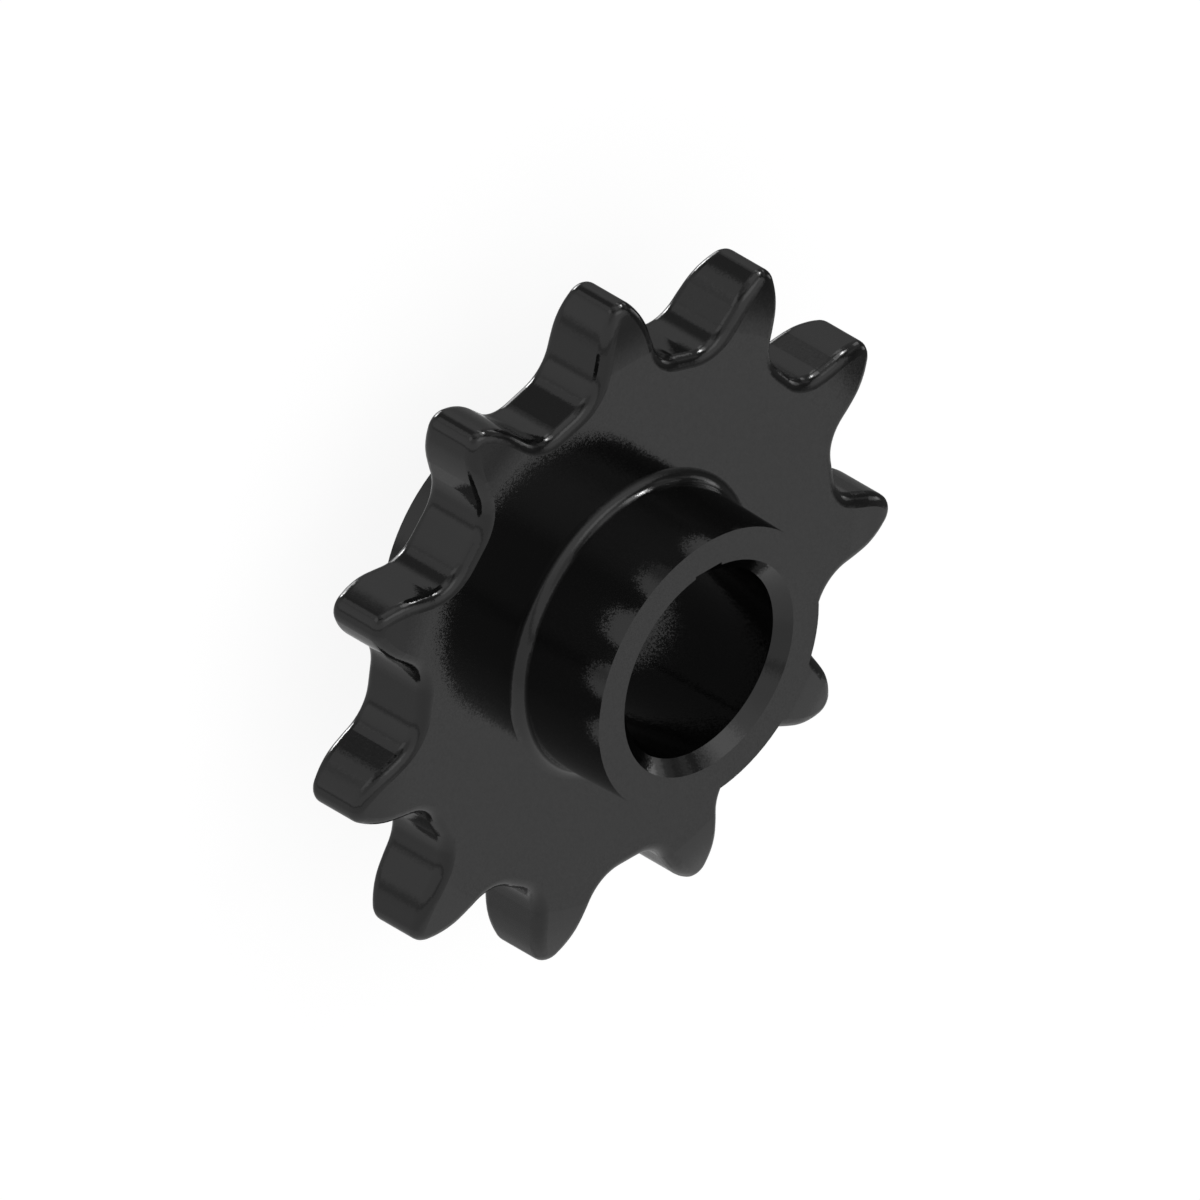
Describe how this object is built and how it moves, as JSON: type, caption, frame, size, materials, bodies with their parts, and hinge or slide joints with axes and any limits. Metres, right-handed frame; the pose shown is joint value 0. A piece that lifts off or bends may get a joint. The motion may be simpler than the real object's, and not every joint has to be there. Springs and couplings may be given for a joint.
{
  "type": "chain sprocket",
  "caption": "Chain sprocket with a plain round hub on both sides, a chamfered bore with a keyway, and rounded teeth whose sides thin towards the tips.",
  "frame": {"origin": "middle of the bore, level with the middle of the teeth", "axes": "+Z along the bore's axis towards the front hub face, +Y through the keyway and one tooth, +X square to both; the sprocket stands on its rear hub face"},
  "size_m": [0.1656, 0.164, 0.067],
  "materials": {
    "body": "gloss black"
  },
  "bodies": {
    "root": {"sprocket": "body"}
  },
  "joints": []
}
